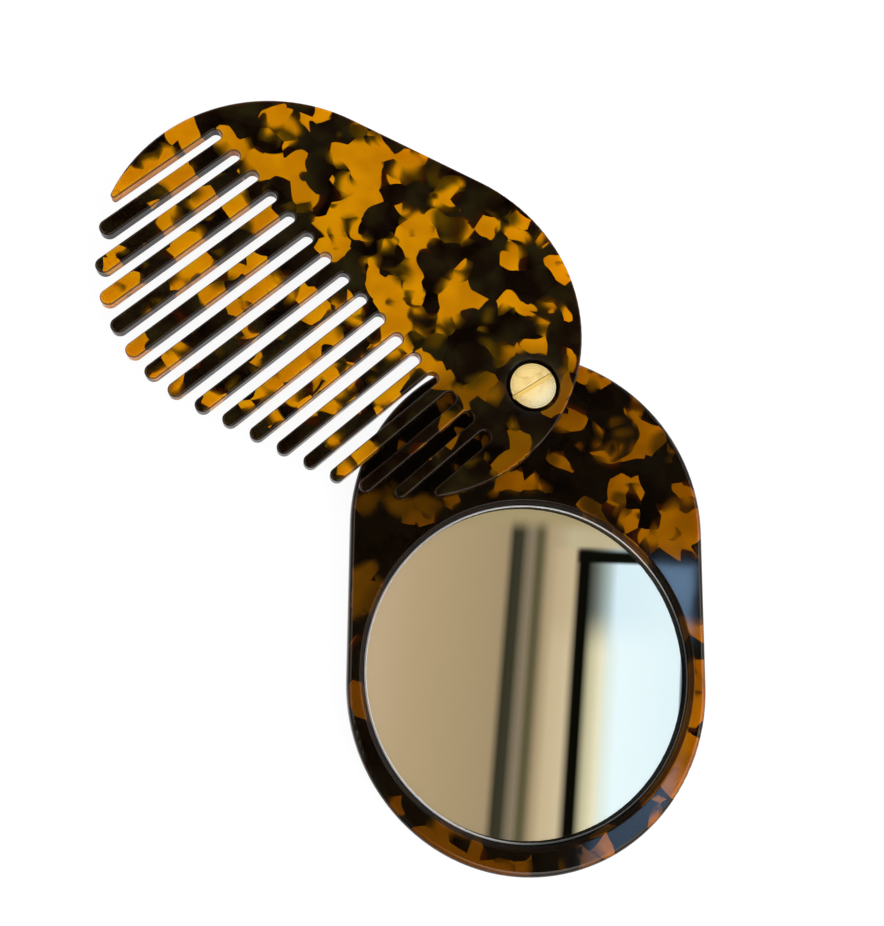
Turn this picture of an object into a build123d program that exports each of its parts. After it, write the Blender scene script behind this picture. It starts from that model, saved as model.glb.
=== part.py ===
from build123d import *
from math import cos, radians, sin
import os

# Pocket mirror with a comb that turns on one pivot and closes flush over the mirror.
# It lies on its back, mirror up. The origin is under the middle of the mirror, on the back face.
# +Y runs from the mirror to the pivot, +Z is up. All sizes are in millimetres and degrees.

# Outline shared by the mirror plate and the comb, so that they close edge to edge
far_radius = 30.8  # rounded end round the mirror
near_radius = 31.2  # rounded end at the pivot
centre_distance = 26.5  # between the centres of the two rounded ends
pivot_inset = 6.9  # pivot axis, in from the near end
mirror_shift = 2.0  # middle of the mirror, from the far end's centre towards the pivot

# Mirror plate
plate_floor = 1.2  # acetate left under the mirror
plate_edge_round = 0.9
rim_width = 1.2  # flat of the rim where it is narrowest, beside the mirror
lip_width = 0.55  # sloping wall from the rim down to the glass
lip_round = 0.25

# Mirror
glass_clearance = 0.15
glass_thickness = 1.8
glass_depth = 1.2  # face of the glass below the plate's face
glass_edge_break = 0.25
silver_thickness = 0.1
silver_margin = 0.1  # the silver stops short of the ground edge
adhesive_thickness = 0.2
adhesive_margin = 1.5

# Comb
comb_thickness = 2.5
comb_edge_round = 0.4
open_angle = -114.4  # comb at rest, turned from closed, seen from above
slot_count = 16
slot_width = 2.2
slot_slant = 22.8  # the teeth lean this much towards the far end
slot_root = 12.0  # roots of the slots, from the pivot along the teeth
first_tooth_depth = 5.9  # from the comb's far end to the first slot's middle, across the teeth
first_pitch = 5.19
pitch_step = 0.046  # each pitch is this much finer than the last
first_point_round = 0.55  # points of the two end teeth
last_point_round = 0.9
point_tolerance = 0.001

# Pivot
barrel_radius = 2.0
running_clearance = 0.05  # comb on the barrel
post_clearance = 0.02  # barrel in the plate
shank_radius = 1.25
thread_clearance = 0.02
shank_end_gap = 0.4
bore_floor = 1.0  # brass left under the barrel's bore
head_radius = 4.25
head_thickness = 1.0
head_edge_break = 0.15
head_recess = 0.15  # head below the face round it
head_clearance = 0.55
counterbore_edge_break = 0.15
driver_slot_width = 0.75
driver_slot_depth = 0.45
driver_slot_angle = 34.0
friction_washer_radius = 5.5
friction_washer_thickness = 0.3
spring_washer_radius = 4.1
spring_washer_thickness = 0.25
spring_washer_height = 0.35
washer_clearance = 0.1

# Places worked out from the sizes above
far_centre_y = -mirror_shift
near_centre_y = far_centre_y + centre_distance
pivot_y = near_centre_y + near_radius - pivot_inset
lip_radius = far_radius - plate_edge_round - rim_width
recess_radius = lip_radius - lip_width
glass_radius = recess_radius - glass_clearance
silver_radius = glass_radius - silver_margin
adhesive_radius = glass_radius - adhesive_margin
adhesive_z = plate_floor
silver_z = adhesive_z + adhesive_thickness
glass_z = silver_z + silver_thickness
glass_top_z = glass_z + glass_thickness
plate_top_z = glass_top_z + glass_depth
comb_z = plate_top_z + friction_washer_thickness
comb_top_z = comb_z + comb_thickness
counterbore_radius = head_radius + head_clearance
spring_washer_z = comb_top_z - head_recess - head_thickness - spring_washer_height
screw_head_z = spring_washer_z + spring_washer_height
post_head_top_z = head_recess + head_thickness
post_bore_z = post_head_top_z + bore_floor
shank_end_z = post_bore_z + shank_end_gap
washer_bore_radius = barrel_radius + washer_clearance
tooth_foot = slot_root + slot_width
comb_reach = (pivot_y - far_centre_y) * cos(radians(slot_slant)) + far_radius
first_slot = comb_reach - first_tooth_depth
tooth_room = 2 * near_radius

# Places that several pieces share
pivot_axis = Axis((0, pivot_y, 0), (0, 0, 1))
pivot_plane = Plane(origin=(0, pivot_y, 0))
pivot_section = Plane(origin=(0, pivot_y, 0), x_dir=(1, 0, 0), z_dir=(0, -1, 0))
comb_plane = Plane(
    origin=(0, pivot_y, comb_z),
    x_dir=(cos(radians(open_angle)), sin(radians(open_angle)), 0),
    z_dir=(0, 0, 1),
)
teeth_plane = comb_plane.rotated((0, 0, -slot_slant))
along_teeth = Axis(teeth_plane.origin, teeth_plane.x_dir)
across_teeth = Axis(teeth_plane.origin, teeth_plane.y_dir)


def slot_place(index):
    """Place of a slot's middle line across the teeth, below zero towards the comb's far end."""
    return index * first_pitch - pitch_step * index * (index - 1) / 2 - first_slot


def tooth_width(index):
    """Width of the tooth between a slot and the next one."""
    return slot_place(index + 1) - slot_place(index) - slot_width


def tooth_line(index):
    """Middle line of that tooth, up to the middle of its rounded end, which touches the outline."""
    place = (slot_place(index) + slot_place(index + 1)) / 2
    outline = leaf_outline.sketch.rotate(Axis.Z, slot_slant)
    reach = offset(outline, amount=-tooth_width(index) / 2, mode=Mode.PRIVATE)
    return Edge.make_line((slot_root, place), (slot_root + tooth_room, place)) & reach


def end_tooth_point(side):
    """Upright edge where this side of the cut for the teeth meets the outline."""
    upright = comb.edges().filter_by(Axis.Z)
    on_side = upright.filter_by_position(across_teeth, side - point_tolerance, side + point_tolerance)
    return on_side.sort_by(along_teeth)[-1]


# Sides of the cut for the teeth
first_side = slot_place(0) - slot_width / 2
last_side = slot_place(slot_count - 1) + slot_width / 2

# Outline of both leaves, drawn with the pivot at its origin and the far end towards -Y
with BuildSketch() as leaf_outline:
    with Locations((0, near_centre_y - pivot_y)):
        Circle(near_radius)
    with Locations((0, far_centre_y - pivot_y)):
        Circle(far_radius)
    make_hull()

# Mirror plate: the outline, with a lipped recess for the mirror and a hole for the post
with BuildPart() as mirror_plate:
    with BuildSketch(pivot_plane):
        add(leaf_outline.sketch)
    extrude(amount=plate_top_z)
    long_edges = mirror_plate.edges().group_by(Axis.Z)
    fillet(long_edges[0] + long_edges[-1], radius=plate_edge_round)
    with BuildSketch(Plane.XZ):
        with BuildLine():
            Polyline(
                (0, plate_floor),
                (recess_radius, plate_floor),
                (recess_radius, glass_top_z),
                (lip_radius, plate_top_z),
                (0, plate_top_z),
                close=True,
            )
        make_face()
    revolve(axis=Axis.Z, mode=Mode.SUBTRACT)
    lip_edge = mirror_plate.edges().filter_by(GeomType.CIRCLE).sort_by(
        lambda edge: abs(edge.radius - lip_radius) + abs(edge.center().Z - plate_top_z)
    )[0]
    fillet(lip_edge, radius=lip_round)
    with Locations(-pivot_plane):
        CounterBoreHole(
            radius=barrel_radius + post_clearance,
            counter_bore_radius=counterbore_radius,
            counter_bore_depth=post_head_top_z,
        )
    hole_mouth = mirror_plate.faces().sort_by(Axis.Z)[0].inner_wires()[0].edges()
    chamfer(hole_mouth, length=counterbore_edge_break)

# Adhesive pad under the mirror
with BuildPart() as mirror_adhesive:
    with BuildSketch(Plane.XY.offset(adhesive_z)):
        Circle(adhesive_radius)
    extrude(amount=adhesive_thickness)

# Silvering and its backing paint, on the underside of the glass
with BuildPart() as mirror_silvering:
    with BuildSketch(Plane.XY.offset(silver_z)):
        Circle(silver_radius)
    extrude(amount=silver_thickness)

# Glass disc with a ground edge
with BuildPart() as mirror_glass:
    with BuildSketch(Plane.XY.offset(glass_z)):
        Circle(glass_radius)
    extrude(amount=glass_thickness)
    chamfer(mirror_glass.edges().group_by(Axis.Z)[-1], length=glass_edge_break)

# Comb: the same outline, cut into teeth on one side. The teeth between the slots have round ends.
with BuildPart() as comb:
    with BuildSketch(comb_plane):
        add(leaf_outline.sketch)
    extrude(amount=comb_thickness)
    with BuildSketch(teeth_plane):
        with Locations((tooth_foot + tooth_room / 2, (first_side + last_side) / 2)):
            Rectangle(tooth_room, last_side - first_side)
        for index in range(slot_count - 1):
            SlotArc(tooth_line(index), tooth_width(index), mode=Mode.SUBTRACT)
        for index in range(slot_count):
            with Locations((tooth_foot, slot_place(index))):
                SlotOverall(2 * slot_width, slot_width)
    extrude(amount=comb_thickness, mode=Mode.SUBTRACT)
    fillet(end_tooth_point(first_side), radius=first_point_round)
    fillet(end_tooth_point(last_side), radius=last_point_round)
    comb_edges = comb.edges().group_by(Axis.Z)
    fillet(comb_edges[0] + comb_edges[-1], radius=comb_edge_round)
    with Locations(pivot_plane.offset(comb_top_z)):
        CounterBoreHole(
            radius=barrel_radius + running_clearance,
            counter_bore_radius=counterbore_radius,
            counter_bore_depth=comb_top_z - spring_washer_z,
        )
    hole_mouth = comb.faces().sort_by(Axis.Z)[-1].inner_wires()[0].edges()
    chamfer(hole_mouth, length=counterbore_edge_break)

# Pivot post: a brass barrel with a slotted head at the back, bored for the screw
with BuildPart() as pivot_post:
    with BuildSketch(pivot_plane.offset(head_recess)):
        Circle(head_radius)
    extrude(amount=head_thickness)
    chamfer(pivot_post.edges().group_by(Axis.Z)[0], length=head_edge_break)
    with BuildSketch(pivot_plane.offset(post_head_top_z)):
        Circle(barrel_radius)
    extrude(amount=screw_head_z - post_head_top_z)
    with BuildSketch(pivot_plane.offset(post_bore_z)):
        Circle(shank_radius + thread_clearance)
    extrude(amount=screw_head_z - post_bore_z, mode=Mode.SUBTRACT)
    with BuildSketch(pivot_plane.offset(head_recess)):
        Rectangle(2 * head_radius, driver_slot_width, rotation=driver_slot_angle)
    extrude(amount=driver_slot_depth, mode=Mode.SUBTRACT)

# Pivot screw: slotted brass head in the comb's counterbore, shank in the post
with BuildPart() as pivot_screw:
    with BuildSketch(pivot_plane.offset(screw_head_z)):
        Circle(head_radius)
    extrude(amount=head_thickness)
    chamfer(pivot_screw.edges().group_by(Axis.Z)[-1], length=head_edge_break)
    with BuildSketch(pivot_plane.offset(shank_end_z)):
        Circle(shank_radius)
    extrude(amount=screw_head_z - shank_end_z)
    with BuildSketch(pivot_plane.offset(screw_head_z + head_thickness)):
        Rectangle(2 * head_radius, driver_slot_width, rotation=driver_slot_angle)
    extrude(amount=-driver_slot_depth, mode=Mode.SUBTRACT)

# Friction washer between the plate and the comb
with BuildPart() as friction_washer:
    with BuildSketch(pivot_plane.offset(plate_top_z)):
        Circle(friction_washer_radius)
        Circle(washer_bore_radius, mode=Mode.SUBTRACT)
    extrude(amount=friction_washer_thickness)

# Spring washer: a shallow dish between the comb and the screw head
with BuildPart() as spring_washer:
    with BuildSketch(pivot_section):
        with BuildLine():
            Polyline(
                (spring_washer_radius, spring_washer_z),
                (spring_washer_radius, spring_washer_z + spring_washer_thickness),
                (washer_bore_radius, spring_washer_z + spring_washer_height),
                (washer_bore_radius, spring_washer_z + spring_washer_height - spring_washer_thickness),
                close=True,
            )
        make_face()
    revolve(axis=pivot_axis)

# Name each piece and write it
pieces = {
    "mirror_plate": mirror_plate,
    "mirror_adhesive": mirror_adhesive,
    "mirror_silvering": mirror_silvering,
    "mirror_glass": mirror_glass,
    "comb": comb,
    "pivot_post": pivot_post,
    "pivot_screw": pivot_screw,
    "friction_washer": friction_washer,
    "spring_washer": spring_washer,
}
os.makedirs("parts", exist_ok=True)
for piece_name, piece in pieces.items():
    piece.part.label = piece_name
    export_step(piece.part, f"parts/{piece_name}.step")
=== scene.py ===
from math import cos, radians, sin

import bmesh
import bpy
from mathutils import Matrix, Vector


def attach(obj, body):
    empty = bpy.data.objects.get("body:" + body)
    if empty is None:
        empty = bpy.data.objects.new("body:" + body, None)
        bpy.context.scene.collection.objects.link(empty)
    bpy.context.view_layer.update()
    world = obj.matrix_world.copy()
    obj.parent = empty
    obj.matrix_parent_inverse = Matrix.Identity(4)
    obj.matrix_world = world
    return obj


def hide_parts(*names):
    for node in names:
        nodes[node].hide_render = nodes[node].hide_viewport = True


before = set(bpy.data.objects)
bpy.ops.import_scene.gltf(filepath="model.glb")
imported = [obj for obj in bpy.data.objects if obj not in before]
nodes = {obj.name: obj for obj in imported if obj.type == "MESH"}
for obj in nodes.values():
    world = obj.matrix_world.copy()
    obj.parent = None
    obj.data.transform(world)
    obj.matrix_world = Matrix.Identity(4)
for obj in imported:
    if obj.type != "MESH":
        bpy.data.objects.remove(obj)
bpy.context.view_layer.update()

# Sizes of the part, in millimetres, as its source has them.
MM = 0.001
PLATE_TOP = 4.5
PLATE_ROUND = 0.9
NEAR_END = (0, 24.5, 31.2)  # the plate's rounded end at the pivot: its middle and its radius
RECESS_RADIUS = 28.8  # just outside the sloping wall round the mirror
COMB_TOP = 7.3
COMB_ROUND = 0.4
GLASS_RADIUS = 28.0
GLASS_TOP = 3.3
SILVER_RADIUS = 27.9
SILVER_FACE = 1.5
SCREW_FACE = 7.15
POST_FACE = 0.15
PIVOT = Vector((0, 48.8, 0))

# Sizes of the acetate's pattern, in millimetres.
CHIP = 3.4  # width of a cut chip
FLOW = 5.0  # length of the waves that the press's flow leaves
FLOW_REACH = 2.6  # how far it moves a chip's edge
VEIL = 6.0  # width of the areas whose edges are all sharp or all soft
CLOUD = 8.0  # width of the clouds in the amber
SWELL = 7.0  # width of the swells that the polishing wheel leaves


def linear(code):
    """An sRGB hex value as the linear colour that Blender's sockets take."""
    parts = [int(code[i:i + 2], 16) / 255 for i in (1, 3, 5)]
    return (*[c / 12.92 if c <= 0.04045 else ((c + 0.055) / 1.055) ** 2.4 for c in parts], 1.0)


def add(tree, kind, *inputs, stops=(), **settings):
    """Adds a node with its settings and colour stops. Inputs are values, hex colours, sockets or nodes,
    in the node's own order, or by name in a dictionary."""
    node = tree.nodes.new(kind)
    for place, colour in stops:
        node.color_ramp.elements.new(place).color = linear(colour)
    if stops:
        node.color_ramp.elements.remove(node.color_ramp.elements[0])
        node.color_ramp.elements.remove(node.color_ramp.elements[-1])
    for name, value in settings.items():
        setattr(node, name, value)
    named = {key: value for part in inputs if isinstance(part, dict) for key, value in part.items()}
    for key, value in [*enumerate(part for part in inputs if not isinstance(part, dict)), *named.items()]:
        if isinstance(value, bpy.types.Node):
            value = next(socket for socket in value.outputs if socket.enabled)
        if isinstance(value, bpy.types.NodeSocket):
            tree.links.new(value, node.inputs[key])
        else:
            node.inputs[key].default_value = linear(value) if isinstance(value, str) else value
    return node


def new_material(name):
    """An empty material, its tree, and its place in millimetres."""
    material = bpy.data.materials.new(name)
    material.use_nodes = True
    tree = material.node_tree
    tree.nodes.clear()
    place = add(tree, "ShaderNodeTexCoord").outputs["Object"]
    return material, tree, add(tree, "ShaderNodeVectorMath", place, {"Scale": 1 / MM}, operation="SCALE")


def patch(tree, place, spots, blend):
    """How far inside a patch a place is, in millimetres: round spots that run into each other."""
    inside = None
    for x, y, radius in spots:
        reach = add(tree, "ShaderNodeVectorMath", place, (x, y, 0), operation="DISTANCE")
        spot = add(tree, "ShaderNodeMath", radius, reach, operation="SUBTRACT")
        inside = add(tree, "ShaderNodeMath", inside, spot, blend, operation="SMOOTH_MAX") if inside else spot
    return inside


def kept_within(tree, mask, *limits):
    """A mask that is cut off softly at each limit: a value, where it is out, and where it is whole."""
    for value, out, whole in limits:
        edge = add(tree, "ShaderNodeMapRange", value, out, whole, interpolation_type="SMOOTHSTEP")
        mask = add(tree, "ShaderNodeMath", mask, edge, operation="MULTIPLY")
    return mask


def tortoiseshell(name, amber_tones, olive_tones, dark_tones, top, rounding, painted_shade_zone, recess,
                  amber_spots, black_spots, sunk_spots):
    """Cellulose acetate, pressed from chips of amber and black sheet, then cut, tumbled and polished.
    It gives sharp black chips at the face, olive ones that blur with depth, and a wet gloss."""
    material, tree, place = new_material(name)

    # Chips lie at a slant in the sheet, so their edges move on with depth.
    parts = add(tree, "ShaderNodeSeparateXYZ", place)
    depth = add(tree, "ShaderNodeMath", parts.outputs[2], top, operation="SUBTRACT")
    flat = add(tree, "ShaderNodeCombineXYZ",
               add(tree, "ShaderNodeMath", depth, 0.5, parts.outputs[0], operation="MULTIPLY_ADD"),
               add(tree, "ShaderNodeMath", depth, -0.4, parts.outputs[1], operation="MULTIPLY_ADD"))

    # Flow in the press bends the chips' edges.
    bend = add(tree, "ShaderNodeTexNoise", flat, {"Scale": 1 / FLOW, "Detail": 0.0}, noise_dimensions="2D")
    bend = add(tree, "ShaderNodeVectorMath", bend.outputs["Color"], (0.5, 0.5, 0.5), operation="SUBTRACT")
    bent = add(tree, "ShaderNodeVectorMath", bend, (FLOW_REACH, FLOW_REACH, 0), flat, operation="MULTIPLY_ADD")

    # About half of the edges are cut sharp. Elsewhere the chips lie under a little amber, and their edges are soft.
    veil = add(tree, "ShaderNodeMapping", flat, {"Location": (31, 17, 0)})
    veil = add(tree, "ShaderNodeTexNoise", veil, {"Scale": 1 / VEIL, "Detail": 1.0}, noise_dimensions="2D")
    veil = add(tree, "ShaderNodeMapRange", veil, 0.49, 0.58, interpolation_type="SMOOTHSTEP")
    soft = add(tree, "ShaderNodeMath", veil, 0.85, 0.04, operation="MULTIPLY_ADD")

    # Each cell is one cut chip. A place is drawn towards its chip's middle, which gives a patch straight edges
    # and points.
    cells = add(tree, "ShaderNodeTexVoronoi", bent, {"Scale": 1 / CHIP}, voronoi_dimensions="2D")
    chip = add(tree, "ShaderNodeSeparateColor", cells.outputs["Color"])
    draw = add(tree, "ShaderNodeMath", veil, -0.55, 0.75, operation="MULTIPLY_ADD")
    drawn = add(tree, "ShaderNodeMix", {"Factor": draw, "A": bent, "B": cells.outputs["Position"]},
                data_type="VECTOR")
    drawn = add(tree, "ShaderNodeVectorMath", drawn, (1, 1, 0), operation="MULTIPLY")
    inside = patch(tree, drawn, amber_spots, 0.6)
    uneven = add(tree, "ShaderNodeMath", chip.outputs[0], draw, operation="MULTIPLY")
    inside = add(tree, "ShaderNodeMath", uneven, 0.6, inside, operation="MULTIPLY_ADD")
    inside = add(tree, "ShaderNodeMath", inside, 0.1, operation="ADD")

    # Painted light: towards the right the recess wall is painted amber, standing in for the window's light shining
    # through the rim.
    radius = add(tree, "ShaderNodeVectorMath", place, (1, 1, 0), operation="MULTIPLY")
    radius = add(tree, "ShaderNodeVectorMath", radius, operation="LENGTH")
    milled = add(tree, "ShaderNodeMapRange", radius, recess, recess - 0.25)
    wall = add(tree, "ShaderNodeMapRange", parts.outputs[0], 4.0, 16.0, 0.0, 2.4)
    wall = add(tree, "ShaderNodeMath", wall, milled, operation="MULTIPLY")
    inside = add(tree, "ShaderNodeMath", wall, inside, operation="ADD")
    holes = add(tree, "ShaderNodeMath", patch(tree, drawn, black_spots, 0.3), -1.0, operation="MULTIPLY")
    inside = add(tree, "ShaderNodeMath", inside, holes, operation="MINIMUM")

    # Sunken chips are less drawn to their middles, so their outlines are rounder.
    half = add(tree, "ShaderNodeMix", {"Factor": 0.3, "A": bent, "B": cells.outputs["Position"]},
               data_type="VECTOR")
    half = add(tree, "ShaderNodeVectorMath", half, (1, 1, 0), operation="MULTIPLY")
    sunk = patch(tree, half, sunk_spots, 1.2)

    under = add(tree, "ShaderNodeMath", soft, -0.8, operation="MULTIPLY")
    black = add(tree, "ShaderNodeMapRange", inside, soft, under, interpolation_type="SMOOTHSTEP")
    black = kept_within(tree, black, (sunk, 1.5, 0.1))

    # Amber is clouded, and olive over a chip that lies deep. Painted shade darkens it in a round zone where little
    # light comes from behind.
    cloud = add(tree, "ShaderNodeTexNoise", flat, {"Scale": 1 / CLOUD, "Detail": 2.0})
    cloud = add(tree, "ShaderNodeMapRange", cloud, 0.3, 0.7, interpolation_type="SMOOTHSTEP")
    light, deep, shade_amber = amber_tones
    amber = add(tree, "ShaderNodeMix", {"Factor": cloud, "A": light, "B": deep}, data_type="RGBA")
    # Painted shade: the amber is darker in a round zone, given as x, y and radius in millimetres.
    x, y, reach = painted_shade_zone
    painted_shade = add(tree, "ShaderNodeVectorMath", flat, (x, y, 0), operation="DISTANCE")
    painted_shade = add(tree, "ShaderNodeMapRange", painted_shade, reach + 1.5, reach - 3.0, 0.0, 0.85)
    amber = add(tree, "ShaderNodeMix", {"Factor": painted_shade, "A": amber, "B": shade_amber}, data_type="RGBA")
    halo = add(tree, "ShaderNodeMath", soft, 1.6, operation="MULTIPLY")
    halo = add(tree, "ShaderNodeMapRange", inside, halo, 0.0, interpolation_type="SMOOTHSTEP")
    under = add(tree, "ShaderNodeMapRange", sunk, -1.1, 0.3, interpolation_type="SMOOTHSTEP")
    under = add(tree, "ShaderNodeMath", under, halo, operation="MAXIMUM")
    light, deep = olive_tones
    olive = add(tree, "ShaderNodeMix", {"Factor": cloud, "A": light, "B": deep}, data_type="RGBA")
    amber = add(tree, "ShaderNodeMix", {"Factor": under, "A": amber, "B": olive}, data_type="RGBA")

    # A chip that is cut thin at its edge lets some red through.
    thin = add(tree, "ShaderNodeMapRange", inside, -0.4, 0.0, interpolation_type="SMOOTHSTEP")
    red = add(tree, "ShaderNodeMapRange", chip.outputs[1], 0.35, 0.7)
    thin = add(tree, "ShaderNodeMath", thin, red, operation="MULTIPLY")
    dark = add(tree, "ShaderNodeMix", {"Factor": 0.7, "A": chip.outputs[2], "B": cloud})
    dark = add(tree, "ShaderNodeValToRGB", dark, stops=dark_tones)
    dark = add(tree, "ShaderNodeMix", {"Factor": thin, "A": dark, "B": "#3E1703"}, data_type="RGBA")
    colour = add(tree, "ShaderNodeMix", {"Factor": black, "A": amber, "B": dark}, data_type="RGBA")

    # Painted shade along the rounded edges: a rounded edge bends the view into the depth of the sheet, so it is painted
    # darker than the face beside it.
    edge = add(tree, "ShaderNodeMapRange", depth, -0.03 * rounding, -0.3 * rounding, 0.0, 0.75,
               interpolation_type="SMOOTHSTEP")
    edge = kept_within(tree, edge, (depth, -1.6 * rounding, -rounding))
    colour = add(tree, "ShaderNodeMix", {"Factor": edge, "A": colour, "B": "#1E1003"}, data_type="RGBA")

    # The faces are polished with a cloth wheel, which leaves a slight swell. The slots are sawn, and duller, and the
    # mirror's recess is milled, and duller still.
    rough = add(tree, "ShaderNodeMapRange", depth, -0.35, -0.6, 0.06, 0.3)
    rough = add(tree, "ShaderNodeMath", milled, 0.3, rough, operation="MULTIPLY_ADD")
    swell = add(tree, "ShaderNodeTexNoise", place, {"Scale": 1 / SWELL, "Detail": 1.0})
    swell = add(tree, "ShaderNodeBump", {"Height": swell, "Strength": 0.25, "Distance": 0.05 * MM})
    shader = add(tree, "ShaderNodeBsdfPrincipled", {
        "Base Color": colour, "Roughness": rough, "IOR": 1.48, "Specular IOR Level": 0.4, "Normal": swell,
        "Subsurface Weight": 1.0, "Subsurface Radius": (5.0, 2.4, 0.4), "Subsurface Scale": MM},
        subsurface_method="RANDOM_WALK")
    add(tree, "ShaderNodeOutputMaterial", shader)
    return material


# Amber on the comb, as x, y and radius in millimetres: the solid part first, then the teeth.
COMB_AMBER = (
    (-40, 98.2, 2.0), (-32.5, 97, 1.3), (-47, 96.5, 2.2), (-44.8, 95.5, 1.8), (-46, 92.4, 1.8), (-49, 94, 1.2),
    (-36.3, 91.3, 2.2), (-33, 90.8, 2.3), (-30, 91.5, 2.4), (-28.3, 93.3, 1.5), (-30.8, 88, 2.4), (-34, 84.5, 2.6),
    (-31.5, 83, 2.8), (-33.4, 81, 2.3), (-37.8, 77.8, 1.7), (-36, 76, 2.5), (-35.3, 73, 2.5), (-37, 71.7, 1.5),
    (-34.6, 79, 1.6), (-31.8, 77, 1.3), (-31, 75, 0.9), (-23, 90, 2.5), (-24.8, 88, 2.0), (-20.8, 91.3, 1.5),
    (-15.8, 84.5, 2.2), (-17.6, 84.7, 1.2), (-16.7, 82.4, 1.8), (-14.6, 86.3, 1.2), (-22, 78.3, 2.6),
    (-20.3, 76.5, 2.5), (-23.6, 76.2, 1.9), (-24, 80.5, 1.1), (-17.6, 79, 1.5), (-12.9, 77.8, 2.0),
    (-13.7, 75.9, 1.3), (-9.2, 79.5, 1.7), (-6.6, 78.3, 1.2), (-4, 77.8, 1.2), (-1.7, 77.7, 1.2), (-8.3, 81, 0.9),
    (-1.5, 81, 1.0), (1.8, 77.3, 1.3), (-3.2, 73.2, 2.0), (5.7, 71.4, 1.8), (-27.6, 73.2, 1.3), (-25.4, 73.8, 1.5),
    (-22.4, 73, 1.8), (-22.3, 70.4, 1.9), (-22.2, 67.4, 1.4), (-21.8, 65, 1.1), (-29.6, 69.5, 1.9), (-29, 66.4, 2.1),
    (-25.6, 67.5, 1.7), (-25.2, 64, 2.4), (-24.6, 61, 2.3), (-25.4, 58, 2.0), (-24.5, 55.4, 2.0), (-25, 53, 1.4),
    (-13.6, 68, 2.2), (-12.8, 70.6, 1.1), (-15, 66, 2.1), (-12.5, 64, 2.6), (-15.6, 63, 2.3), (-17, 60.6, 2.1),
    (-14, 60.9, 1.5), (-21.3, 61.6, 1.5), (-20.6, 57.3, 1.6), (-18, 57.3, 1.5), (-22.8, 58.3, 1.5), (-4.9, 64, 1.4),
    (-2.2, 62.9, 1.0), (0.4, 61.9, 1.1), (2, 60, 1.3), (1.9, 57.8, 1.2), (0.6, 56.2, 0.9), (-4.4, 55.3, 1.7),
    (-2.2, 56.3, 1.6), (-6.3, 54, 1.7), (2.8, 64.4, 1.2), (5.5, 63.2, 0.9), (7.2, 53.6, 1.6), (6.4, 51, 1.7),
    (5.9, 48.4, 1.6), (4.3, 45.4, 1.4), (-8, 49, 1.3), (-10, 47.6, 1.8), (-12.6, 46.4, 1.9), (-15.6, 48, 1.5),
    (-18, 48.4, 1.3), (-7.4, 46.6, 1.3), (-3.2, 41.6, 1.2), (-2.8, 39, 1.4), (-2.8, 36.3, 1.6), (-5.2, 33.6, 1.3),
    (-7.4, 32.8, 1.0), (2.4, 43.8, 1.3), (-15.4, 41.4, 1.7), (-13.6, 38.8, 1.6), (-15.6, 37, 1.0), (-12.4, 43.6, 0.9),
    (-18.4, 35.6, 1.2), (-28.9, 36, 1.7), (-32.4, 32.4, 1.7), (-34.4, 37.4, 1.8), (-64.4, 92.4, 2.2),
    (-62.4, 90.6, 1.9), (-66.6, 87.6, 2.4), (-69.4, 85.6, 2.1), (-71, 83, 1.7), (-72.8, 81.6, 1.5),
    (-74.6, 79.6, 1.7), (-56.6, 91.4, 1.9), (-54, 90, 2.4), (-51.4, 88, 2.4), (-48.6, 86.5, 2.3), (-46, 86, 2.3),
    (-43.8, 87.4, 1.7), (-43.2, 82.8, 1.7), (-41.2, 81, 1.5), (-64, 84.3, 2.5), (-66.5, 83.3, 1.6),
    (-60.2, 78.8, 1.7), (-65.8, 75.8, 2.1), (-64.4, 77.6, 1.5), (-59.4, 80.6, 1.2), (-53.4, 79.4, 2.3),
    (-52.5, 81.6, 1.2), (-61.5, 70.6, 2.3), (-63.6, 69.5, 1.5), (-59.4, 72.4, 1.5), (-49.4, 77.4, 1.9),
    (-50.6, 75.5, 1.6), (-48.8, 79.3, 1.2), (-58.8, 67, 2.5), (-61.5, 65.4, 2.3), (-63, 63, 1.7), (-72.4, 61.3, 1.9),
    (-70.3, 63.4, 1.9), (-74.3, 59.8, 1.4), (-75.2, 66.4, 1.0), (-73.4, 65.9, 0.9), (-73.2, 69.4, 0.8),
    (-67.6, 57.4, 1.0), (-68.3, 51.4, 1.6), (-66.8, 53.2, 1.1), (-64.6, 47, 2.1), (-62.5, 49.4, 1.9),
    (-60.8, 51.8, 1.5), (-61.8, 58.3, 1.4), (-50.8, 68, 2.4), (-52.8, 67.3, 1.4), (-48.2, 68.7, 1.2),
    (-47.4, 64.6, 1.9), (-45.9, 66, 1.0), (-50.4, 61.2, 2.2), (-52.6, 60, 1.4), (-57.6, 61.8, 1.2), (-61.7, 45, 1.3),
    (-58.4, 48.5, 0.9), (-50.4, 55.2, 1.7), (-51, 57.5, 1.3), (-41, 62.6, 1.8), (-43.6, 62.7, 1.2), (-38.6, 61, 2.1),
    (-36, 61.6, 1.8), (-33.6, 60.6, 2.0), (-31, 61.6, 1.2), (-32.4, 59.2, 1.5), (-37, 55, 2.4), (-38.8, 53.4, 2.1),
    (-41, 51.4, 2.3), (-43.2, 49.4, 2.3), (-45.6, 47, 2.3), (-47.4, 44.8, 1.8), (-48.6, 51, 1.2), (-38.2, 48, 1.8),
    (-36, 50.2, 1.5), (-32.2, 48.6, 1.9), (-34.3, 46.4, 1.7), (-35.4, 43.6, 1.7), (-56.2, 44.6, 1.4), (-55, 43, 1.5),
    (-30.4, 50.6, 1.7), (-26.8, 54.6, 1.9), (-21.4, 52, 2.0), (-19.2, 51.3, 1.5), (-22.8, 50, 1.5), (-26, 45.2, 1.6),
    (-24.4, 47.4, 1.6), (-31.4, 44.4, 1.3), (-38.6, 42.4, 1.7), (-42, 44.2, 1.5), (-49.6, 42.4, 1.3),
    (-44.4, 40.4, 1.4))

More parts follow.
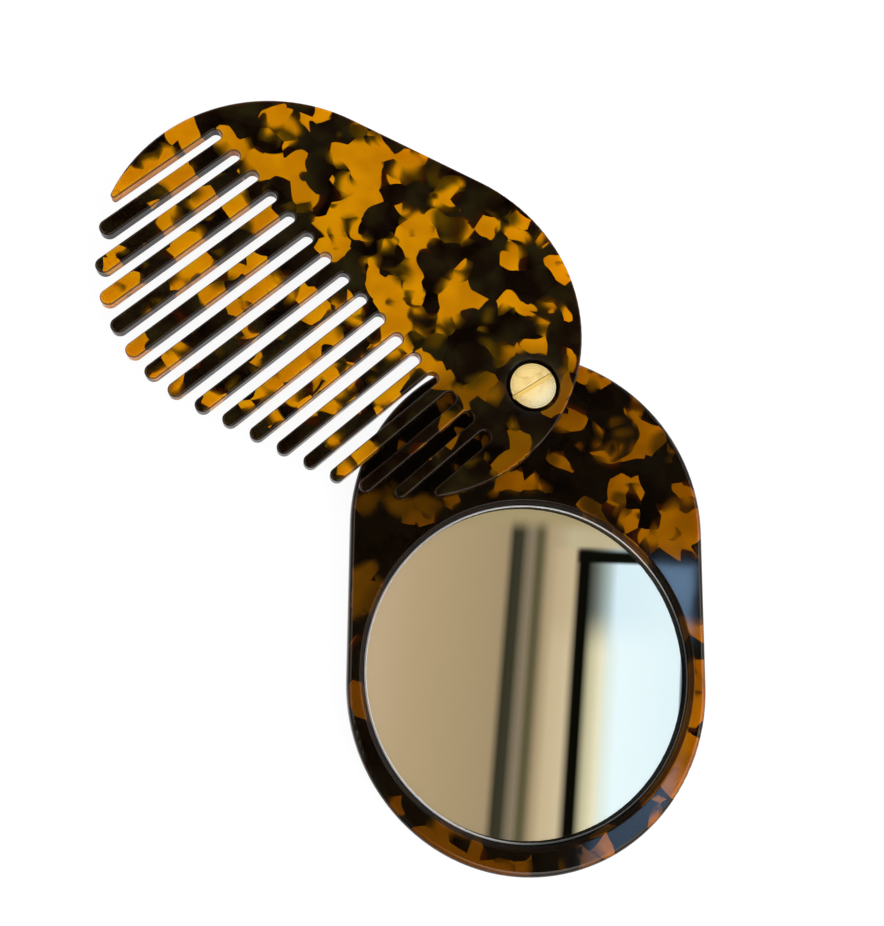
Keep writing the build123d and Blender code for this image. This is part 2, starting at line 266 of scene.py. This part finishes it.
# Small black chips that lie in the amber.
COMB_BLACK = (
    (-33.6, 88, 0.9), (-34.7, 88.6, 0.5), (-33, 86.4, 0.5), (-33.6, 75.4, 0.3), (-19.4, 59.6, 1.0),
    (-19.2, 58.3, 0.5), (-25, 70.6, 0.5), (-26.8, 70.3, 0.8), (-28, 62.8, 0.8), (-44, 84, 0.5), (-31.6, 71.6, 0.9),
    (-36, 53.4, 0.5), (-50.4, 61, 0.5), (-49.4, 61.4, 0.3), (-36.2, 60.6, 0.4), (-71, 82.4, 0.3), (-17.4, 84.4, 0.35))

# Chips that lie deeper, so that they show olive and soft.
COMB_SUNK = (
    (-45.8, 93.4, 0.9), (-32.5, 95.6, 1.8), (-36.5, 95, 1.4), (-29, 95.6, 1.2), (-18.2, 88, 2.2), (-16.4, 87, 1.4),
    (-17.6, 86, 0.9), (-16, 78.6, 1.8), (-15.6, 76.2, 1.5), (-24.4, 71.4, 1.0), (-24, 69, 1.1), (-23.6, 67, 0.8),
    (-33.4, 77.8, 0.6), (-4.4, 80.8, 1.6), (-8.6, 58.6, 1.6), (-8.4, 61.6, 1.5), (-7.6, 55.6, 1.6), (-7, 52.8, 1.4),
    (-18, 55.2, 1.6), (-21.6, 56, 0.9), (-15.4, 58.4, 1.3), (-42, 79.4, 1.4), (-45, 80, 1.3), (-58, 76, 1.2),
    (-67.4, 81, 1.4), (-61.6, 80.6, 1.1), (-52.6, 75, 1.2), (-52.4, 54.4, 1.5), (-54.4, 52.4, 1.4),
    (-44.4, 55.4, 1.4), (-49, 48.6, 1.3), (-37.4, 47, 0.8), (-34, 52, 0.9), (-69.4, 78.4, 1.0), (-68, 70.4, 1.2),
    (-10.8, 34.4, 1.6), (-8.4, 35.6, 1.2), (-17.2, 43.4, 1.0), (-10.4, 50, 1.2), (-20, 46.4, 1.1), (3, 52, 0.8),
    (-56, 71, 1.3), (-55.4, 64.6, 1.4), (-46, 60, 1.3), (-41, 57.6, 1.3), (-34.6, 56.8, 1.2), (-29.6, 56, 1.2),
    (-29, 48, 1.1), (-40.6, 46, 1.1), (-52, 46.4, 1.3), (-33, 41, 1.1), (-66, 60, 1.3), (-59.6, 55.6, 1.3),
    (-70.4, 74, 1.2), (-56.4, 84.6, 1.4), (-48.4, 82.6, 1.1), (-69, 66.8, 1.2))

# The same for the plate that holds the mirror.
PLATE_AMBER = (
    (12.6, 51.6, 1.4), (10, 52.6, 0.65), (7.6, 44.4, 2), (5.2, 42.8, 1.4), (19, 48.4, 0.95), (19.5, 45.8, 1.1),
    (20.6, 43.2, 1.4), (21.6, 40.6, 1.4), (21.5, 37.6, 1.4), (19, 37.7, 0.95), (12.6, 42, 1.1), (14.4, 37.9, 1.6),
    (16.6, 38.6, 0.85), (12, 39.6, 0.55), (14.4, 31.2, 1.4), (17, 31.2, 1.1), (20, 31.2, 1.1), (15, 28.6, 1.2),
    (17.2, 26.3, 1.2), (28.4, 30.6, 1.8), (26, 27, 2.2), (29, 25.4, 2.8), (24.2, 24.2, 2.8), (28, 22, 2.5),
    (21.8, 22.6, 1.6), (25.6, 20.8, 1.2), (0.4, 31.4, 2), (-3.4, 31.4, 1.8), (-6.8, 30.8, 1.2), (2.4, 30.8, 1.2),
    (-27.6, 27.6, 1.4), (-24.6, 28.2, 1.1), (5.4, 36.3, 0.65), (9.2, 38.2, 0.65), (-30, 3, 1.0), (-29.4, -4.8, 1.6),
    (-28.4, -6.6, 1.2), (-22, -22, 1.3), (-17.4, -26.4, 2.1), (-14.8, -25.2, 1.9), (-13.6, -29, 2.5),
    (-9.2, -29, 2.0), (-9, -31, 1.9), (-5, -31.5, 1.4), (-2, -30.6, 1.5), (-16.6, -28.6, 1.5), (-12.6, -26, 1.4),
    (-21, -20.4, 1.0), (28.6, 8, 1.2), (28.2, -2, 1.8), (28, -6, 1.8), (27, -10, 1.8), (25.6, -14, 1.8),
    (23.6, -17.4, 1.8), (21.2, -20.6, 1.5), (30.2, 5, 1.1), (30.2, 0, 1.2), (28.6, -14, 1.5), (26.2, -18, 1.5),
    (20.6, -24, 1.9), (9.6, -29.4, 1.3), (12.4, -27.6, 1.2), (-26.8, 12, 2.2), (-29, 9.6, 1.7), (-28.8, 14.4, 1.7),
    (-21, 27, 1.4), (-18, 25.8, 1.2), (-14, 28.4, 0.95), (10.4, 28, 1.2), (13, 25.8, 0.95), (24, 39, 0.65),
    (26.6, 38.6, 0.55), (-12, 40, 1.4), (-8, 38.4, 1.2), (-4, 44, 1.6), (-13, 33.6, 1.1), (-22, 36, 1.2),
    (3, 52, 1.4), (-4, 52.4, 1.2), (-16, 45, 1.4), (29.2, 7.6, 1.9), (29.2, 5.6, 1.9), (29.4, 2.8, 2.1),
    (29, -1.4, 2.1), (28.6, -5.6, 2.1), (27.6, -10, 2), (26.2, -13.4, 1.9), (24.6, -16.8, 1.7))
PLATE_BLACK = (
    (29.8, 14.4, 2.6), (28.2, 16.6, 1.8), (30.2, 11.6, 1.6), (-19.2, -23.4, 1.5), (-11.6, -27, 1.2),
    (-6.8, -28.6, 1.5), (20, 28.9, 0.9), (18.2, 29, 0.5), (29.4, -8.6, 1.2), (28, 3.6, 0.7), (27.2, -14.8, 0.3),
    (14.6, 39.2, 0.5), (30.4, 30.4, 0.5))
PLATE_SUNK = (
    (-28.6, 26.6, 2.6), (-23.4, 27.8, 2.8), (-18, 27, 2.4), (-29.2, 14.8, 2.8), (-27.6, 10.6, 2.6), (-29.8, 8, 2.0),
    (11.4, 50.2, 1.4), (16, 44, 1.8), (17.4, 41, 1.6), (15.6, 40.2, 1.1), (16.4, 29.4, 1.2), (11, 28.4, 1.6),
    (13, 26, 1.2), (24, 40.4, 1.4), (9.8, -29.2, 1.4), (5, -31, 1.4), (26.4, 37, 1.2), (12.6, 35.6, 1.2),
    (4.4, 37.4, 1.0))


def float_glass():
    """Clear float glass, cut round, its edge ground by hand.
    It gives a sharp reflection, a thin white line along the ground top edge and a grey wall below it, the whole ground
    edge darkening to dark green towards the right."""
    material, tree, place = new_material("float_glass_ground_edge")
    radius = add(tree, "ShaderNodeVectorMath", place, (1, 1, 0), operation="MULTIPLY")
    radius = add(tree, "ShaderNodeVectorMath", radius, operation="LENGTH")
    nibbles = add(tree, "ShaderNodeTexNoise", place, {"Scale": 1 / 0.8, "Detail": 2.0})
    radius = add(tree, "ShaderNodeMath", nibbles, 0.12, radius, operation="MULTIPLY_ADD")
    ground = add(tree, "ShaderNodeMapRange", radius, GLASS_RADIUS - 0.29, GLASS_RADIUS - 0.26,
                 interpolation_type="SMOOTHSTEP")
    parts = add(tree, "ShaderNodeSeparateXYZ", place)
    white = add(tree, "ShaderNodeMapRange", parts.outputs[2], GLASS_TOP - 0.3, GLASS_TOP - 0.2)
    edge_side = add(tree, "ShaderNodeMath", parts.outputs[1], -0.7, parts.outputs[0], operation="MULTIPLY_ADD")
    edge_side = add(tree, "ShaderNodeMapRange", edge_side, 24.0, 2.0, 0.1, 1.0, interpolation_type="SMOOTHSTEP")
    colour = add(tree, "ShaderNodeMix", {"Factor": white, "A": "#A89E88", "B": "#FFFFFF"}, data_type="RGBA")
    colour = add(tree, "ShaderNodeMix", {"Factor": edge_side, "A": "#1C2824", "B": colour}, data_type="RGBA")
    colour = add(tree, "ShaderNodeMix", {"Factor": ground, "A": "#FAFCFB", "B": colour}, data_type="RGBA")
    shader = add(tree, "ShaderNodeBsdfPrincipled", {
        "Base Color": colour, "IOR": 1.52, "Roughness": add(tree, "ShaderNodeMath", ground, 0.5, operation="MULTIPLY"),
        "Transmission Weight": add(tree, "ShaderNodeMath", 1.0, ground, operation="SUBTRACT")})
    add(tree, "ShaderNodeOutputMaterial", shader)
    return material


def silvering():
    """Silver laid on the glass by a wet process, with grey paint rolled on behind it.
    It gives the mirror its image. The paint is dull, and shows only at the rim and from behind."""
    material, tree, place = new_material("wet_laid_silver_and_paint")
    height = add(tree, "ShaderNodeSeparateXYZ", place).outputs[2]
    paint = add(tree, "ShaderNodeMapRange", height, SILVER_FACE - 0.02, SILVER_FACE - 0.03)
    grain = add(tree, "ShaderNodeTexNoise", place, {"Scale": 1 / 0.6, "Detail": 2.0})
    grey = add(tree, "ShaderNodeMix", {"Factor": grain, "A": "#6A6C70", "B": "#808286"}, data_type="RGBA")
    colour = add(tree, "ShaderNodeMix", {"Factor": paint, "A": "#F7F9F8", "B": grey}, data_type="RGBA")
    shader = add(tree, "ShaderNodeBsdfPrincipled", {
        "Base Color": colour, "Metallic": add(tree, "ShaderNodeMath", 1.0, paint, operation="SUBTRACT"),
        "Roughness": add(tree, "ShaderNodeMath", paint, 0.6, operation="MULTIPLY")})
    add(tree, "ShaderNodeOutputMaterial", shader)
    return material


def foam_tape():
    """Double-sided acrylic foam tape, die-cut round. It gives a dull, fine-celled edge round the glass's underside."""
    material, tree, place = new_material("acrylic_foam_tape")
    foam = add(tree, "ShaderNodeTexVoronoi", place, {"Scale": 1 / 0.25})
    cell = add(tree, "ShaderNodeMapRange", foam, 0.1, 0.7)
    colour = add(tree, "ShaderNodeMix", {"Factor": cell, "A": "#A8A498", "B": "#D6D2C6"}, data_type="RGBA")
    bump = add(tree, "ShaderNodeBump", {"Height": foam, "Strength": 0.6, "Distance": 0.05 * MM})
    shader = add(tree, "ShaderNodeBsdfPrincipled", {"Base Color": colour, "Roughness": 0.85, "Normal": bump})
    add(tree, "ShaderNodeOutputMaterial", shader)
    return material


def turned_brass(name, bright, worn, roughness, face):
    """Free-cutting brass, faced on a lathe and polished. It gives faint rings round the pivot, a little
    handling tarnish in cloudy patches, and a clean milled floor in the driver slot."""
    material, tree, place = new_material(name)
    centred = add(tree, "ShaderNodeMapping", place, {"Location": -PIVOT})
    # Tool marks are about 0.02 mm apart. Here they are 0.3 mm apart, so that they show.
    rings = add(tree, "ShaderNodeTexWave", centred, {"Scale": 1.05, "Distortion": 0.3, "Detail": 2.0},
                wave_type="RINGS", rings_direction="Z")
    cloud = add(tree, "ShaderNodeTexNoise", place, {"Scale": 1 / 1.6, "Detail": 3.0})
    tarnish = add(tree, "ShaderNodeMapRange", cloud, 0.5, 0.75, 0.0, 0.5, interpolation_type="SMOOTHSTEP")
    colour = add(tree, "ShaderNodeMix", {"Factor": tarnish, "A": bright, "B": worn}, data_type="RGBA")
    height = add(tree, "ShaderNodeSeparateXYZ", place).outputs[2]
    at_face = add(tree, "ShaderNodeMath", height, face, 0.1, operation="COMPARE")
    colour = add(tree, "ShaderNodeMix", {"Factor": at_face, "A": "#E6CC82", "B": colour}, data_type="RGBA")
    rough = add(tree, "ShaderNodeMath", tarnish, 0.05, roughness, operation="MULTIPLY_ADD")
    rough = add(tree, "ShaderNodeMix", {"Factor": at_face, "A": 0.05, "B": rough})
    bump = add(tree, "ShaderNodeBump", {"Height": rings, "Strength": 0.1, "Distance": 0.004 * MM})
    shader = add(tree, "ShaderNodeBsdfPrincipled", {
        "Base Color": colour, "Metallic": 1.0, "Roughness": rough, "Normal": bump})
    add(tree, "ShaderNodeOutputMaterial", shader)
    return material


def cut_nylon():
    """Natural nylon sheet, punched to a washer. It gives a milky, waxy ring with a faint grain."""
    material, tree, place = new_material("punched_nylon")
    cloud = add(tree, "ShaderNodeTexNoise", place, {"Scale": 1 / 1.5, "Detail": 3.0})
    colour = add(tree, "ShaderNodeMix", {"Factor": cloud, "A": "#DAD6C6", "B": "#F0ECE0"}, data_type="RGBA")
    grain = add(tree, "ShaderNodeTexNoise", place, {"Scale": 1 / 0.12, "Detail": 2.0})
    bump = add(tree, "ShaderNodeBump", {"Height": grain, "Strength": 0.3, "Distance": 0.01 * MM})
    shader = add(tree, "ShaderNodeBsdfPrincipled", {
        "Base Color": colour, "Roughness": 0.45, "IOR": 1.53, "Normal": bump,
        "Subsurface Weight": 0.4, "Subsurface Radius": (0.8, 0.7, 0.5), "Subsurface Scale": MM})
    add(tree, "ShaderNodeOutputMaterial", shader)
    return material


def spring_steel():
    """Cold-rolled spring steel, dished in a press and tempered. It gives fine straight roll marks
    and a straw tint where the temper caught the edge."""
    material, tree, place = new_material("rolled_spring_steel")
    # Roll marks run along X, 4 mm long and 0.08 mm apart.
    along = add(tree, "ShaderNodeMapping", place, {"Scale": (1 / 4.0, 1 / 0.08, 1 / 4.0)})
    marks = add(tree, "ShaderNodeTexNoise", along, {"Scale": 1.0, "Detail": 2.0})
    centred = add(tree, "ShaderNodeVectorMath", place, (1, 1, 0), -PIVOT, operation="MULTIPLY_ADD")
    radius = add(tree, "ShaderNodeVectorMath", centred, operation="LENGTH")
    straw = add(tree, "ShaderNodeMapRange", radius, 3.2, 4.1)
    colour = add(tree, "ShaderNodeMix", {"Factor": straw, "A": "#B4B6BA", "B": "#A8987A"}, data_type="RGBA")
    rough = add(tree, "ShaderNodeMapRange", marks, 0.3, 0.7, 0.22, 0.42)
    bump = add(tree, "ShaderNodeBump", {"Height": marks, "Strength": 0.2, "Distance": 0.01 * MM})
    shader = add(tree, "ShaderNodeBsdfPrincipled", {
        "Base Color": colour, "Metallic": 1.0, "Roughness": rough, "Normal": bump})
    add(tree, "ShaderNodeOutputMaterial", shader)
    return material


def stand_for(piece, node):
    """Lets a finished piece stand for a CAD node and ride on the mirror's leaf."""
    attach(piece, "mirror_leaf")
    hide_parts(node)


def shown(name, mesh, material):
    """An object that shows a mesh in one material."""
    mesh.materials.append(material)
    piece = bpy.data.objects.new(name, mesh)
    bpy.context.scene.collection.objects.link(piece)
    return piece


def made_of(work, name, material):
    """A piece with the mesh of a bmesh and one material."""
    mesh = bpy.data.meshes.new(name)
    work.to_mesh(mesh)
    work.free()
    return shown(name, mesh, material)


def turned(name, node, material):
    """A copy of a turned CAD node with its edges broken by 0.1 mm, which is what catches the light on real brass."""
    work = bmesh.new()
    work.from_mesh(nodes[node].data)
    bmesh.ops.remove_doubles(work, verts=work.verts, dist=1e-6)
    bmesh.ops.dissolve_limit(work, angle_limit=radians(1), verts=work.verts, edges=work.edges)
    sharp = [e for e in work.edges if len(e.link_faces) == 2 and e.calc_face_angle() > radians(35)]
    bmesh.ops.bevel(work, geom=sharp, offset=0.1 * MM, segments=3, profile=0.5, affect="EDGES", clamp_overlap=True)
    piece = made_of(work, name, material)
    piece.data.shade_smooth()
    piece.data.set_sharp_from_angle(angle=radians(40))
    # The broad flat faces stay flat, and only the broken edges are rounded by their shading.
    piece.modifiers.new("flat_faces", "WEIGHTED_NORMAL").keep_sharp = True
    depsgraph = bpy.context.evaluated_depsgraph_get()
    finished = bpy.data.meshes.new_from_object(piece.evaluated_get(depsgraph))
    piece.modifiers.clear()
    piece.data = finished
    return piece


# The CAD nodes that keep their shape get their finish in place. The comb is cut from a livelier sheet, and its amber
# carries painted shade where the plate lies behind it at rest. The plate's amber carries painted shade at its left.
finishes = {
    "comb": tortoiseshell(
        "tortoiseshell_acetate_comb", ("#E29C02", "#C88402", "#6E4402"), ("#6A4E04", "#402C02"),
        ((0.05, "#070402"), (0.3, "#140A04"), (0.55, "#1C140A"), (0.9, "#28220F")), COMB_TOP, COMB_ROUND,
        painted_shade_zone=NEAR_END, recess=0, amber_spots=COMB_AMBER, black_spots=COMB_BLACK, sunk_spots=COMB_SUNK),
    "mirror_plate": tortoiseshell(
        "tortoiseshell_acetate_plate", ("#AA6A00", "#8A5200", "#623804"), ("#6A4204", "#402602"),
        ((0.1, "#0A0502"), (0.4, "#120A04"), (0.95, "#17120A")), PLATE_TOP, PLATE_ROUND,
        painted_shade_zone=(-22, -8, 38), recess=RECESS_RADIUS,
        amber_spots=PLATE_AMBER, black_spots=PLATE_BLACK, sunk_spots=PLATE_SUNK),
    "mirror_glass": float_glass(),
    "mirror_adhesive": foam_tape(),
    "friction_washer": cut_nylon(),
    "spring_washer": spring_steel()}
for node, material in finishes.items():
    nodes[node].data.materials.clear()
    nodes[node].data.materials.append(material)

screw_brass = turned_brass("turned_brass_screw", "#F7E4B0", "#E8CC8C", 0.07, SCREW_FACE)
stand_for(turned("slotted_screw", "pivot_screw", screw_brass), "pivot_screw")
post_brass = turned_brass("turned_brass_post", "#F0DCA4", "#D0B070", 0.2, POST_FACE)
stand_for(turned("slotted_post", "pivot_post", post_brass), "pivot_post")

# The silvering is laid a hair under the glass, because two faces in one place would show as torn.
SILVER_GAP = 0.006
SILVER_THICKNESS = 0.088
disc = bmesh.new()
bmesh.ops.create_circle(disc, cap_ends=True, segments=192, radius=SILVER_RADIUS * MM)
bmesh.ops.translate(disc, verts=disc.verts, vec=(0, 0, (SILVER_FACE - SILVER_GAP - SILVER_THICKNESS) * MM))
lifted = bmesh.ops.extrude_face_region(disc, geom=disc.faces[:])
bmesh.ops.translate(disc, verts=[v for v in lifted["geom"] if isinstance(v, bmesh.types.BMVert)],
                    vec=(0, 0, SILVER_THICKNESS * MM))
bmesh.ops.recalc_face_normals(disc, faces=disc.faces)
stand_for(made_of(disc, "silver_coat", silvering()), "mirror_silvering")

# Camera, at the photograph's viewing angle, in millimetres.
EYE = Vector((-39.2646, -2.8931, 179.1418))
AIM = Vector((-15.848, 41.436, 4.5))
ROLL = radians(-0.994)
camera = bpy.data.objects.new("camera", bpy.data.cameras.new("camera"))
bpy.context.scene.collection.objects.link(camera)
camera.data.sensor_width = 36.0
camera.data.lens = 40.143
camera.data.shift_y = -0.04104
camera.data.clip_start, camera.data.clip_end = 0.005, 20
ahead = (AIM - EYE).normalized()
upright = (Vector((0, 1, 0)) - ahead * ahead.y).normalized()
across = ahead.cross(upright)
top = upright * cos(ROLL) + across * sin(ROLL)
side = ahead.cross(top)
camera.matrix_world = Matrix.Translation(EYE * MM) @ Matrix((side, top, -ahead)).transposed().to_4x4()
bpy.context.scene.camera = camera


def sheet(name, left, near, right, far, height, material):
    """A flat sheet between two corners, in millimetres, that is no part of the object."""
    mesh = bpy.data.meshes.new(name)
    corners = ((left, near), (right, near), (right, far), (left, far))
    mesh.from_pydata([(x * MM, y * MM, height * MM) for x, y in corners], [], [(0, 1, 2, 3)])
    piece = shown(name, mesh, material)
    return piece


def first_seen(tree, path, strength):
    """A strength that is dimmed in second reflections, such as the mirror's light in the milled wall round it."""
    again = add(tree, "ShaderNodeMapRange", path.outputs["Glossy Depth"], 1.4, 1.6, 1.0, 0.06)
    return add(tree, "ShaderNodeMath", strength, again, operation="MULTIPLY")


# Floor: a white table, bright enough to print white and still darker where the object shades it.
material, tree, place = new_material("white_table")
path = add(tree, "ShaderNodeLightPath")
seen = add(tree, "ShaderNodeMath", path.outputs["Is Glossy Ray"], path.outputs["Is Transmission Ray"],
           operation="MAXIMUM")
seen = add(tree, "ShaderNodeMath", seen, path.outputs["Is Camera Ray"], operation="MAXIMUM")
colour = add(tree, "ShaderNodeMix", {"Factor": seen, "A": "#F4F4F4", "B": "#6A6A6A"}, data_type="RGBA")
lit = add(tree, "ShaderNodeBsdfDiffuse", colour)
glow = add(tree, "ShaderNodeEmission", {"Strength": add(tree, "ShaderNodeMath", seen, 0.92, operation="MULTIPLY")})
add(tree, "ShaderNodeOutputMaterial", add(tree, "ShaderNodeAddShader", lit, glow))
sheet("table", -3000, -3000, 3000, 3000, -0.05, material)

# The room that the mirror shows is painted on a card above the part, which only reflections see.
# Its pattern is drawn in millimetres on the mirror's face, as the camera sees it there: lines from the camera's
# mirror image, under the silvering, through the face to the card.
CARD_HEIGHT = 350.0
mirrored_eye = 2 * SILVER_FACE - EYE.z
spread = (CARD_HEIGHT - mirrored_eye) / (SILVER_FACE - mirrored_eye)
material, tree, place = new_material("room_card")
place = add(tree, "ShaderNodeMapping", place, {
    "Location": (EYE.x * (1 - 1 / spread), EYE.y * (1 - 1 / spread), 0), "Scale": (1 / spread, 1 / spread, 0)})
parts = add(tree, "ShaderNodeSeparateXYZ", place)
x, y = parts.outputs[0], parts.outputs[1]
leaning = add(tree, "ShaderNodeMath", y, -0.083, x, operation="MULTIPLY_ADD")
RAMP_WIDTH = 80  # millimetres that the wall's colours are set out over, the middle at 0
along = add(tree, "ShaderNodeMath", leaning, 1 / RAMP_WIDTH, 0.5, operation="MULTIPLY_ADD")

# Left of the window: a pale wall with two dark bars. Then the window: its frame, its pane and the frame again.
wall = [(-30, "#CFB292"), (-20, "#BFA480"), (-9, "#B39A76"), (-5.5, "#AE9674"), (-4.1, "#3A3628"), (-2.8, "#3E3A2C"),
        (-1.7, "#7E705A"), (-0.9, "#8E7E6A"), (-0.3, "#7E6F57"), (0.4, "#5C543A"), (1.0, "#6A6046"), (2.4, "#B69E7C")]
pane_end = [(26.9, "#E6F4FA"), (27.3, "#2A3A3C"), (27.7, "#2A3A3C"), (28.1, "#B8C2BA"), (28.7, "#B8C2BA"),
            (29.2, "#1A1A18")]
shade = wall + [(4, "#CAB08E"), (6.8, "#D2BA96"), (8.1, "#0E0C06"), (9.5, "#0C0B06"), (11.2, "#6E726A"),
                (13.4, "#AEBABA"), (15.0, "#DCEEF8")] + pane_end
sunny = wall + [(4, "#D4BC98"), (6.6, "#DAC4A0"), (8.1, "#0C0B06"), (9.4, "#0C0B06"), (10.8, "#CFC4A0"),
                (12.6, "#F0E4C4"), (14.0, "#E6ECE4"), (16.0, "#EEFAFF")] + pane_end
above = wall + [(3.4, "#BCA482"), (6.5, "#CAB896"), (14, "#C6B592"), (26, "#8A7C60")]
shade, sunny, above = [
    add(tree, "ShaderNodeValToRGB", along, stops=[((spot + RAMP_WIDTH / 2) / RAMP_WIDTH, tone) for spot, tone in stops])
    for stops in (shade, sunny, above)]
lower = add(tree, "ShaderNodeMapRange", y, 2.0, 11.0, interpolation_type="SMOOTHSTEP")
colour = add(tree, "ShaderNodeMix", {"Factor": lower, "A": sunny, "B": shade}, data_type="RGBA")
upper = add(tree, "ShaderNodeMapRange", y, 20.0, 21.6, interpolation_type="SMOOTHSTEP")
colour = add(tree, "ShaderNodeMix", {"Factor": upper, "A": colour, "B": above}, data_type="RGBA")

# The window's top rail, and the dimmer wall over it.
rail = add(tree, "ShaderNodeMapRange", leaning, 7.0, 8.2, interpolation_type="SMOOTHSTEP")
rail = kept_within(tree, rail, (y, 18.0, 18.8), (y, 21.4, 20.0))
colour = add(tree, "ShaderNodeMix", {"Factor": rail, "A": colour, "B": "#0E0D08"}, data_type="RGBA")
over = add(tree, "ShaderNodeMapRange", y, 23.0, 26.5, interpolation_type="SMOOTHSTEP")
colour = add(tree, "ShaderNodeMix", {"Factor": over, "A": colour, "B": "#B09C74"}, data_type="RGBA")

# What lies straight over the acetate is dark, so that it shows its own colour.
path = add(tree, "ShaderNodeLightPath")
direct = add(tree, "ShaderNodeMapRange", path.outputs["Transmission Depth"], 0.6, 0.4)
from_middle = add(tree, "ShaderNodeVectorMath", place, (0, 0, 0), operation="DISTANCE")
dark = kept_within(tree, direct, (from_middle, 26.0, 28.0), (x, 36.0, 34.0), (y, -38.0, -36.0), (x, -86.0, -82.0),
                   (y, 110.0, 106.0))
colour = add(tree, "ShaderNodeMix", {"Factor": dark, "A": colour, "B": "#14120C"}, data_type="RGBA")

# The window is far stronger than a photograph holds, and polished acetate returns a little of its blue.
right = add(tree, "ShaderNodeMath", y, -0.155, x, operation="MULTIPLY_ADD")
pane = kept_within(tree, direct, (leaning, 9.9, 13.0), (right, 28.0, 27.2), (y, 18.8, 18.2), (from_middle, 28.0, 28.6))
colour = add(tree, "ShaderNodeMix", {"Factor": pane, "A": colour, "B": "#8AB0D8"}, data_type="RGBA")
strength = add(tree, "ShaderNodeMapRange", y, -27.0, 15.0, 3.2, 13.0)
strength = add(tree, "ShaderNodeMath", pane, strength, operation="MULTIPLY")
strength = add(tree, "ShaderNodeMath", strength, 1.1, operation="ADD")

# Painted highlight for the brass head: a bright disc on the card, placed where the head reflects it, brightest at its
# lower right.
brass = add(tree, "ShaderNodeVectorMath", place, (PIVOT.x + 0.4, PIVOT.y + 0.6, 0), operation="DISTANCE")
brass = add(tree, "ShaderNodeMapRange", brass, 5.1, 4.4, interpolation_type="SMOOTHSTEP")
glint = add(tree, "ShaderNodeMath", x, add(tree, "ShaderNodeMath", y, PIVOT.y, operation="SUBTRACT"),
            operation="SUBTRACT")
glint = add(tree, "ShaderNodeMapRange", glint, 0.5, 4.5, interpolation_type="SMOOTHSTEP")
shine = add(tree, "ShaderNodeMix", {"Factor": glint, "A": "#EADDBE", "B": "#E4EEFF"}, data_type="RGBA")
colour = add(tree, "ShaderNodeMix", {"Factor": brass, "A": colour, "B": shine}, data_type="RGBA")
strength = add(tree, "ShaderNodeMath", brass, 0.3, strength, operation="MULTIPLY_ADD")
window = add(tree, "ShaderNodeMapRange", leaning, 11.0, 14.0)
strength = add(tree, "ShaderNodeMath", window, 0.1, strength, operation="MULTIPLY_ADD")
add(tree, "ShaderNodeOutputMaterial",
    add(tree, "ShaderNodeEmission", colour, first_seen(tree, path, strength)))
card = sheet("room", -200, -130, 210, 350, CARD_HEIGHT, material)
card.visible_camera = card.visible_diffuse = card.visible_shadow = card.visible_volume_scatter = False

# World: even soft light. Reflections see a room: dark at the left horizon and white at the right one, dimmer
# overhead, and lighter through the mirror.
world = bpy.data.worlds.new("studio")
bpy.context.scene.world = world
world.use_nodes = True
tree = world.node_tree
tree.nodes.clear()
parts = add(tree, "ShaderNodeSeparateXYZ", add(tree, "ShaderNodeTexCoord").outputs["Generated"])
path = add(tree, "ShaderNodeLightPath")
mirrored = add(tree, "ShaderNodeMapRange", path.outputs["Transmission Depth"], 0.4, 0.6)
ceiling = add(tree, "ShaderNodeMix", {"Factor": mirrored, "A": "#4A4842", "B": "#A4967C"}, data_type="RGBA")
toward = add(tree, "ShaderNodeMath", parts.outputs[1], -0.45, parts.outputs[0], operation="MULTIPLY_ADD")
horizon = add(tree, "ShaderNodeMapRange", toward, -0.5, 0.3)
horizon = add(tree, "ShaderNodeMix", {"Factor": horizon, "A": "#4E4A42", "B": "#FFFFFF"}, data_type="RGBA")
overhead = add(tree, "ShaderNodeMapRange", parts.outputs[2], 0.03, 0.3, interpolation_type="SMOOTHSTEP")
overhead = add(tree, "ShaderNodeMix", {"Factor": overhead, "A": horizon, "B": ceiling}, data_type="RGBA")
colour = add(tree, "ShaderNodeMix", {"Factor": path.outputs["Is Glossy Ray"], "A": "#FFFFFF", "B": overhead},
             data_type="RGBA")
strength = add(tree, "ShaderNodeMath", path.outputs["Is Diffuse Ray"], -0.38, 1.0, operation="MULTIPLY_ADD")

# A wide window to the right and a dim one to the left draw thin lines along rounded edges. Both are brighter the
# higher they reach, so that a flat face seen at a slant keeps its colour.
level = add(tree, "ShaderNodeCombineXYZ", parts.outputs[0], parts.outputs[1])
level = add(tree, "ShaderNodeVectorMath", level, operation="LENGTH")
toward = add(tree, "ShaderNodeMath", toward, level, operation="DIVIDE")
rising = add(tree, "ShaderNodeMapRange", parts.outputs[2], 0.2, 0.85)
rising = add(tree, "ShaderNodeMath", rising, path.outputs["Is Glossy Ray"], operation="MULTIPLY")
rising = add(tree, "ShaderNodeMath", rising, mirrored, operation="SUBTRACT", use_clamp=True)
for out, whole, bright in ((0.3, 0.75, 2.5), (-0.3, -0.75, 0.8)):
    lit = add(tree, "ShaderNodeMapRange", toward, out, whole, interpolation_type="SMOOTHSTEP")
    lit = add(tree, "ShaderNodeMath", lit, rising, operation="MULTIPLY")
    strength = add(tree, "ShaderNodeMath", lit, bright, strength, operation="MULTIPLY_ADD")
    colour = add(tree, "ShaderNodeMix", {"Factor": lit, "A": colour, "B": "#F4EEE0"}, data_type="RGBA")
add(tree, "ShaderNodeOutputWorld",
    add(tree, "ShaderNodeBackground", colour, first_seen(tree, path, strength)))

# One soft window lamp to the right, which lights the edges that face it and stays out of the mirror.
lamp = bpy.data.objects.new("window_lamp", bpy.data.lights.new("window_lamp", "AREA"))
bpy.context.scene.collection.objects.link(lamp)
lamp.data.shape = "RECTANGLE"
lamp.data.size = 0.9
lamp.data.size_y = 0.2
lamp.data.energy = 4.0
lamp.location = (0.55, -0.25, 0.45)
lamp.visible_glossy = lamp.visible_transmission = False
lamp.rotation_mode = "QUATERNION"
lamp.rotation_quaternion = (Vector((0, 0.02, 0)) - lamp.location).to_track_quat("-Z", "Y")

bpy.context.scene.view_settings.view_transform = "Standard"
